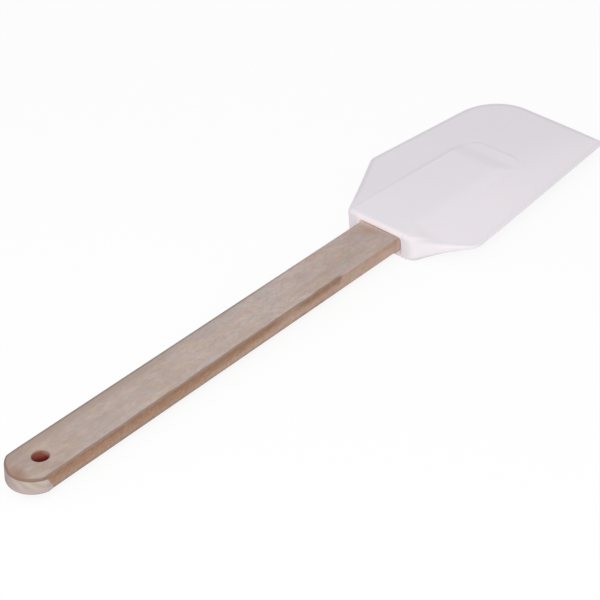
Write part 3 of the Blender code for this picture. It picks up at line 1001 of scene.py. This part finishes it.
# %% Make the blade
def make_blade(plan, sizes, finish):
    outer_end = (Vector((-SOCKET_MOUTH_LENGTH - NECK_WIDTH / 2, 0)), Vector((-1, 0)))
    socket = bar_mesh("socket", [outer_end] + tongue_side(-SOCKET_MOUTH_LENGTH))
    cutters = [add_object("socket_cutter", socket), add_object("dish_cutter", dish_mesh(rule))]
    source = add_object("blade_source", plan)
    lift = source.modifiers.new("moulded_blade", "NODES")
    lift.node_group = blade_tree(sizes, cutters, finish)
    labels = {item.name: item.identifier for item in lift.node_group.interface.items_tree}
    for name, value in sizes.items():
        lift[labels[label_of(name)]] = value
    blade = as_piece("rubber_blade", source, finish)
    for cutter in cutters:
        bpy.data.objects.remove(cutter)
    return blade


blade = make_blade(plan, SIZES, rubber)
print("blade:", len(blade.data.vertices), "points,", open_edges(blade), "open edges")
print("blade box", [[round(v, 5) for v in corner] for corner in (blade.bound_box[0], blade.bound_box[6])])

# %% [markdown]
# ## Beech
#
# The bar is cut with its growth rings lying nearly level. Its wide faces are brown where hands and
# water have been, at both ends, and pinkish grey between, in soft patches. A dark ring runs along
# its narrow sides, spills over the edge, and dies out before the rubber. At the butt the end grain
# is paler, with the rings as slanted lines, under a lip that handling has browned. One ring pattern
# for the whole bar would be simpler, but could put none of these marks where the real ones are.

# %% Where a point of the wood lies
MILLIMETRES_PER_METRE = 1000.0


def millimetres(size):
    return size * MILLIMETRES_PER_METRE


class WoodPlace:
    """Wires for where a point of the bar lies. All that is said of the wood is in millimetres."""

    def __init__(self, place):
        self.where = stretched(from_origin(place), [MILLIMETRES_PER_METRE] * 3)
        self.x, self.y, z = axes_of(self.where)
        self.depth = millimetres(BAR_THICKNESS / 2) - z
        neck, butt = millimetres(NECK_WIDTH / 2), millimetres(BUTT_WIDTH / 2)
        half_width = between(neck, butt, self.x / millimetres(-HANDLE_LENGTH))
        self.from_near_side = half_width + self.y
        self.from_far_side = half_width - self.y
        normal = place.node("ShaderNodeNewGeometry", output="Normal")
        self.facing_flat = abs(axes_of(normal)[2])
        self.from_butt = self.x + millimetres(HANDLE_LENGTH)
        hole_x = self.from_butt - millimetres(HOLE_FROM_BUTT)
        hole_radius = millimetres(HOLE_DIAMETER / 2)
        self.from_hole = (hole_x * hole_x + self.y * self.y) ** 0.5 - hole_radius
        self.round_hole = (hole_x - self.y) / hole_radius
        arc_x = self.from_butt - millimetres(BUTT_ARC_RADIUS)
        self.from_butt_arc = millimetres(BUTT_ARC_RADIUS) - (arc_x * arc_x + self.y * self.y) ** 0.5

    def figure(self, along, across, detail, scale=1.0, roughness=0.5):
        """A noise that changes at one pace along the bar and at another across it."""
        return noise(stretched(self.where, (along, across, across)), scale, detail, roughness)


# %% The flat faces
BAR_TONES = (
    (0.00, (156, 132, 119)), (0.05, (157, 135, 124)), (0.09, (165, 144, 133)), (0.16, (174, 156, 145)),
    (0.33, (177, 160, 152)), (0.52, (184, 169, 163)), (0.72, (187, 171, 165)), (0.85, (184, 166, 158)),
    (0.95, (178, 156, 148)), (1.00, (182, 157, 150)),
)
PALE_PATCH, BROWN_PATCH = (196, 181, 174), (166, 148, 138)
PALE_BLOTCH, BROWN_BLOTCH = (192, 178, 170), (168, 151, 142)
PINK, OLIVE = (189, 162, 158), (180, 170, 153)
WARM_TAN, COOL_GREY = (188, 163, 146), (178, 167, 168)
STREAK, FINE_GRAIN = (163, 145, 134), (162, 146, 138)
BY_HOLE, FAR_STAIN = (150, 126, 108), (160, 141, 130)
HANDLED, DAMP_ROOT = (146, 112, 96), (168, 134, 116)
FAR_LINE = (124, 112, 104)


def drift(share, field, start, end, high, low):
    """Two layers: one colour where a noise is high, another where it is low."""
    return (share * step_up(field, start, end), high), (share * step_up(1 - field, start, end), low)


def flat_face(at):
    """Brown at both ends and pinkish grey between, in soft patches, with a dark far edge."""
    blotches = at.figure(0.13, 0.30, 3.0)
    along_far_edge = step_up(6.5 - at.from_far_side + 4.0 * (blotches - 0.5), 0.0, 3.0)
    far_line = step_up(2.3 - at.from_far_side, 0.0, 1.6)
    return layered(
        ramp(clamp(at.from_butt / millimetres(HANDLE_LENGTH)), BAR_TONES),
        *drift(0.55, at.figure(0.030, 0.075, 2.0), 0.46, 0.66, PALE_PATCH, BROWN_PATCH),
        *drift(0.40, blotches, 0.46, 0.62, PALE_BLOTCH, BROWN_BLOTCH),
        *drift(0.35, at.figure(0.10, 0.17, 2.0, scale=1.7), 0.48, 0.66, PINK, OLIVE),
        *drift(0.35, at.figure(0.07, 0.13, 3.0, scale=1.3), 0.50, 0.62, WARM_TAN, COOL_GREY),
        (0.22 * step_up(at.figure(0.035, 0.40, 2.0), 0.50, 0.66), STREAK),
        (0.50 * step_up(at.figure(0.40, 0.75, 4.0, roughness=0.75), 0.42, 0.66), FINE_GRAIN),
        (0.30 * spot(at.from_butt, at.y, (10.0, 5.0), (13.0, 9.0)), BY_HOLE),
        (0.50 * along_far_edge * step_up(-at.x, 90.0, 160.0), FAR_STAIN),
        (0.75 * spot(at.from_butt, at.y, (2.0, -1.5), (5.5, 8.0)), HANDLED),
        (0.45 * spot(at.x, at.y, (-4.5, 3.0), (6.0, 8.0)), DAMP_ROOT),
        (0.75 * far_line * step_up(-at.x, 10.0, 90.0), FAR_LINE),
    )


# %% The narrow sides
DARK_RING = (
    (0.00, (137, 111, 95)), (0.14, (137, 107, 86)), (0.32, (149, 115, 91)), (0.52, (157, 124, 102)),
    (0.68, (162, 136, 118)), (0.80, (152, 131, 116)), (1.00, (142, 126, 116)),
)
UPPER_TAN, LOWER_TAN = (174, 146, 130), (189, 165, 151)
SIDE_FOOT, ORANGE_TAN = (146, 127, 115), (172, 130, 100)
PALE_FLECK, BROWN_FLECK = (176, 150, 136), (140, 104, 80)
RUBBER_BOUNCE_ON_WOOD, RED_KNOT = (205, 176, 164), (170, 104, 92)
RING_ENDS_FROM, RING_ENDS_AT = -39.5, -36.5


def side_face(at):
    """The rings edge on: a dark brown ring that breaks off before the rubber, and tan past it."""
    mottle = at.figure(0.16, 0.35, 3.0)
    waver = at.figure(0.045, 0.5, 3.0) - 0.5
    level = clamp((at.depth + waver * 2.0) / millimetres(BAR_THICKNESS))
    tan = mixed(level, UPPER_TAN, LOWER_TAN)
    ring_depth = between(2.0, 7.0, step_up(-at.x, 60.0, 190.0))
    past_ring = at.depth - ring_depth + 2.0 * (mottle - 0.5)
    past_end = at.x + 0.8 * at.depth + 5.0 * (mottle - 0.5)
    foot = step_up(at.depth, 4.9, 6.6) * step_up(-at.x, 25.0, 55.0)
    # Painted light: the side's lower part is paler near the rubber, for the light the white rubber throws
    # on it.
    rubber_bounce = step_up(at.x, -18.0, -6.0) * step_up(at.depth, 2.0, 4.0)
    return layered(
        ramp(level, DARK_RING),
        (0.80 * step_up(past_ring, -0.8, 2.6), tan),
        (step_up(past_end, RING_ENDS_FROM, RING_ENDS_AT), tan),
        (0.60 * spot(at.x, at.depth, (-73.0, 3.0), (11.0, 20.0)), tan),
        (0.55 * foot, SIDE_FOOT),
        (0.25 * step_up(mottle, 0.46, 0.66), ORANGE_TAN),
        *drift(0.25, at.figure(0.45, 0.60, 3.0, roughness=0.65), 0.46, 0.66, PALE_FLECK, BROWN_FLECK),
        (0.35 * rubber_bounce, RUBBER_BOUNCE_ON_WOOD),
        (0.60 * spot(at.x, at.depth, (-195.0, 3.8), (2.2, 2.0)), RED_KNOT),
    )


# %% The butt's end grain
DARK_GRAIN, LIGHT_GRAIN = (168, 154, 147), (180, 167, 155)
END_FOOT, END_FAR = (176, 162, 160), (158, 143, 137)
END_LIP = (130, 104, 91)
RING_SLANT = 0.75
RINGS_PER_MM = 1.5


def end_face(at):
    """Pale, with slanted rings that waver a little."""
    waver = noise(stretched(at.where, (0.2, 0.2, 0.4)), 1.0)
    wave = (at.depth + RING_SLANT * at.y + 2.2 * (waver - 0.5)) * RINGS_PER_MM
    lip = step_up(1.3 - at.depth, 0.0, 0.5) * step_up(7.0 - at.y, 0.0, 5.0)
    return layered(
        mixed(step_up(wave.math("SINE", wave), -1.2, 1.2), DARK_GRAIN, LIGHT_GRAIN),
        (0.70 * step_up(at.depth, 3.5, 6.0), END_FOOT),
        (0.75 * step_up(at.y, -5.0, 5.0), END_FAR),
        (lip, END_LIP),
    )


# %% The wall of the hole
HOLE_TONES_AND_SHADE = (
    (0.00, (160, 126, 110)), (0.22, (148, 94, 78)), (0.45, (156, 84, 74)), (0.72, (126, 44, 34)),
    (1.00, (96, 24, 12)),
)
HOLE_TONES_DEPTH = 6.0
HOLE_DEEP_SHADE, HOLE_RIM = (78, 18, 6), (172, 140, 130)


def hole_wall(at):
    """The drilled wall, scorched dark red-brown, with shade painted in that darkens it the deeper it lies.
    """
    to_the_right = step_up(at.round_hole, -0.1, 0.9)
    return layered(
        ramp(clamp(at.depth / HOLE_TONES_DEPTH), HOLE_TONES_AND_SHADE),
        # Painted shade deep in the wall on the hole's right side.
        (0.75 * to_the_right * step_up(at.depth, 2.2, 3.4), HOLE_DEEP_SHADE),
        (0.85 * to_the_right * step_up(2.4 - at.depth, 0.0, 1.2), HOLE_RIM),
    )


# %% All the faces of the wood together
SPILL, BROWNED_LIP = (136, 112, 96), (126, 101, 88)
PAINTED_LIGHT_IN_MOUTH = (232, 210, 200)


def wood_tone(at):
    """The dark ring spills over the near edge, the butt's edge is browned, and each face has its tones."""
    on_side = 1 - step_up(at.facing_flat, 0.35, 0.75)
    spill = step_up(1.15 + 1.1 * (at.figure(0.09, 0.0, 2.0) - 0.5) - at.from_near_side, 0.0, 0.6)
    lip_width = between(1.1, 1.9, step_up(at.y, 0.0, 6.0))
    lip = step_up(lip_width - at.from_butt_arc, 0.0, 1.2) * step_up(9.0 - at.from_butt, 0.0, 2.0)
    on_end = step_up(7.6 + 0.43 * at.depth - at.from_butt, -0.3, 0.3)
    return layered(
        flat_face(at),
        (0.85 * spill * step_up(-at.x, 38.0, 41.0), SPILL),
        (0.85 * lip, BROWNED_LIP),
        (on_side, side_face(at)),
        (on_side * on_end, end_face(at)),
        (step_up(0.45 - at.from_hole, 0.0, 0.3), hole_wall(at)),
        # Painted light: the wood is paler where it goes into the rubber's mouth, against the shade there.
        (0.85 * step_up(at.x, -3.5, 0.8), PAINTED_LIGHT_IN_MOUTH),
    )


# %% The beech's material
def beech_wood():
    made, shader, place = new_material("beech")
    at = WoodPlace(place)
    feed(shader, "Base Color", wood_tone(at))
    feed(shader, "Roughness", 0.62 + 0.12 * at.figure(0.35, 1.6, 3.0, roughness=0.6))
    feed_bump(shader, at.figure(0.5, 9.0, 4.0), strength=0.25, distance=0.0001)
    shader.inputs["Specular IOR Level"].default_value = 0.2
    return made


beech = beech_wood()
print("beech:", len(beech.node_tree.nodes), "nodes")

# %% Make the handle
BUTT_LEAN_NEAR = 0.0007
BUTT_LEAN_OUT = 0.0008


def lean_butt(mesh):
    """Sets the hand-sanded butt a little askew: its nose to the near side, its foot out."""
    for vertex in mesh.vertices:
        share = smooth(1 - (vertex.co.x + HANDLE_LENGTH) / BUTT_ARC_RADIUS)
        below = 0.5 - vertex.co.z / BAR_THICKNESS
        vertex.co.y -= BUTT_LEAN_NEAR * share
        vertex.co.x -= BUTT_LEAN_OUT * share * below


def make_handle(finish):
    drill = add_object("drill", hole_mesh())
    source = add_object("handle_source", bar_mesh("handle_source", butt_side() + tongue_side(0.0)))
    lean_butt(source.data)
    cut = source.modifiers.new("hanging_hole", "BOOLEAN")
    cut.operation = "DIFFERENCE"
    cut.solver = "EXACT"
    cut.object = drill
    handle = as_piece("beech_handle", source, finish)
    bpy.data.objects.remove(drill)
    return handle


handle = make_handle(beech)
print("handle:", len(handle.data.vertices), "points,", open_edges(handle), "open edges")

# %% [markdown]
# ## Floor and light
#
# A pale floor fills the view. For the camera and for reflections it gives a little light of its
# own, just enough that its lit parts come out white, while the object's soft shadow stays. The
# light is broad and comes mostly from the camera's side, so that forms read by gentle shading.

# %% Floor
FLOOR_SIZE = 12.0
FLOOR_COLOUR = (243, 243, 243)
FLOOR_GLOW_SHARE = 0.88


def add_floor():
    half = FLOOR_SIZE / 2
    mesh = bpy.data.meshes.new("floor")
    corners = [(-half, -half, 0), (half, -half, 0), (half, half, 0), (-half, half, 0)]
    mesh.from_pydata(corners, [], [(0, 1, 2, 3)])
    floor = add_object("floor", mesh)
    made, shader, _ = new_material("studio_floor")
    shader.inputs["Base Color"].default_value = linear(FLOOR_COLOUR)
    shader.inputs["Roughness"].default_value = 0.9
    shader.inputs["Specular IOR Level"].default_value = 0.0
    path = made.node_tree.nodes.new("ShaderNodeLightPath")
    seen = Wire(made.node_tree, path.outputs["Is Camera Ray"])
    for name in ("Is Glossy Ray", "Is Transmission Ray"):
        seen = largest(seen, Wire(made.node_tree, path.outputs[name]))
    glow = seen.node("ShaderNodeEmission", None, {"Color": (1, 1, 1, 1), "Strength": 1.0})
    both = seen.node("ShaderNodeMixShader", None, {
        0: seen * FLOOR_GLOW_SHARE, 1: Wire(made.node_tree, shader.outputs[0]), 2: glow,
    })
    output = made.node_tree.nodes["Material Output"]
    made.node_tree.links.new(both.socket, output.inputs["Surface"])
    mesh.materials.append(made)


add_floor()

# %% Lights
KEY_DIRECTION = Vector((-0.66, -0.43, 0.61))
KEY_DISTANCE = 0.85
KEY_SIZE = 0.5
KEY_LEVEL = 0.43
SKY_LEVEL = 0.76


def add_light(name, level, size, direction, distance):
    """A round lamp that lights a white surface facing it to a level, where 1 renders as white."""
    data = bpy.data.lights.new(name, "AREA")
    data.energy = level * math.pi ** 2 * distance ** 2
    data.shape = "DISK"
    data.size = size
    light = bpy.data.objects.new(name, data)
    light.location = direction.normalized() * distance
    light.rotation_euler = direction.to_track_quat("Z", "Y").to_euler()
    bpy.context.scene.collection.objects.link(light)


def light_world(level):
    world = bpy.data.worlds.new("studio")
    bpy.context.scene.world = world
    world.use_nodes = True
    back = world.node_tree.nodes["Background"]
    back.inputs["Color"].default_value = (1, 1, 1, 1)
    back.inputs["Strength"].default_value = level


add_light("key", KEY_LEVEL, KEY_SIZE, KEY_DIRECTION, KEY_DISTANCE)
light_world(SKY_LEVEL)
bpy.context.scene.view_settings.view_transform = "Standard"

# %% [markdown]
# ## Into the frame
#
# Each piece rides on the one body and takes the place of its CAD node, which is hidden.

# %% Ride and replace
for piece, node, slot in ((handle, "handle", "beech"), (blade, "blade", "white_rubber")):
    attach(piece, "root")
    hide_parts(node)
